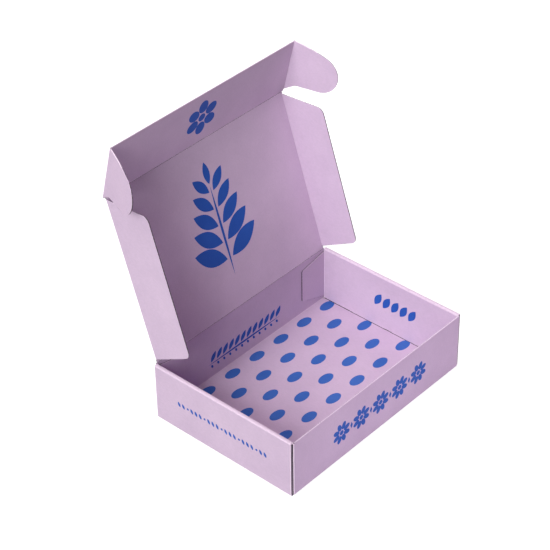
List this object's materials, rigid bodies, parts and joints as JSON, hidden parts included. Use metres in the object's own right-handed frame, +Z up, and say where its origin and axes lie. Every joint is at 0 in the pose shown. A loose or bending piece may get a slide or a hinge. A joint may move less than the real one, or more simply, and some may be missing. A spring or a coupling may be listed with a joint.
{
  "type": "folding mailer box",
  "caption": "Shallow folded corrugated mailer box with rolled side walls, a hinged lid, a tuck flap with lock ears and dust flaps; ships and shows small goods.",
  "frame": {"origin": "middle of the tray's underside, on the surface that it stands on", "axes": "+X along the lid hinge to the right seen from the front, +Y to the rear (lid hinge side), +Z up"},
  "size_m": [0.283, 0.2304, 0.2943],
  "materials": {
    "printed_board": "matt lilac printed corrugated board"
  },
  "bodies": {
    "tray": {"tray": "printed_board"},
    "lid": {"lid": "printed_board"},
    "tuck_flap": {"tuck_flap": "printed_board"},
    "right_dust_flap": {"right_dust_flap": "printed_board"},
    "left_dust_flap": {"left_dust_flap": "printed_board"},
    "right_ear": {"right_ear": "printed_board"},
    "left_ear": {"left_ear": "printed_board"}
  },
  "joints": [
    {"name": "lid_hinge", "type": "hinge", "parent": "tray", "child": "lid", "pos_m": [0, 0.08725, 0.0654], "axis": [-1, 0, 0], "range_deg": [-108.2, 71.8]},
    {"name": "tuck_flap_hinge", "type": "hinge", "parent": "lid", "child": "tuck_flap", "pos_m": [0, 0.14213, 0.23231], "axis": [-1, 0, 0], "range_deg": [-58, 32]},
    {"name": "right_dust_flap_hinge", "type": "hinge", "parent": "lid", "child": "right_dust_flap", "pos_m": [0.122, 0.08725, 0.0654], "axis": [0, 0.3123, 0.95], "range_deg": [0, 90]},
    {"name": "left_dust_flap_hinge", "type": "hinge", "parent": "lid", "child": "left_dust_flap", "pos_m": [-0.122, 0.08725, 0.0654], "axis": [0, -0.3123, -0.95], "range_deg": [0, 90]},
    {"name": "right_ear_hinge", "type": "hinge", "parent": "tuck_flap", "child": "right_ear", "pos_m": [0.1254, 0.14213, 0.23231], "axis": [0, -0.2385, 0.9711], "range_deg": [-15, 75]},
    {"name": "left_ear_hinge", "type": "hinge", "parent": "tuck_flap", "child": "left_ear", "pos_m": [-0.1254, 0.14213, 0.23231], "axis": [0, 0.2385, -0.9711], "range_deg": [-19.5, 70.5]}
  ]
}
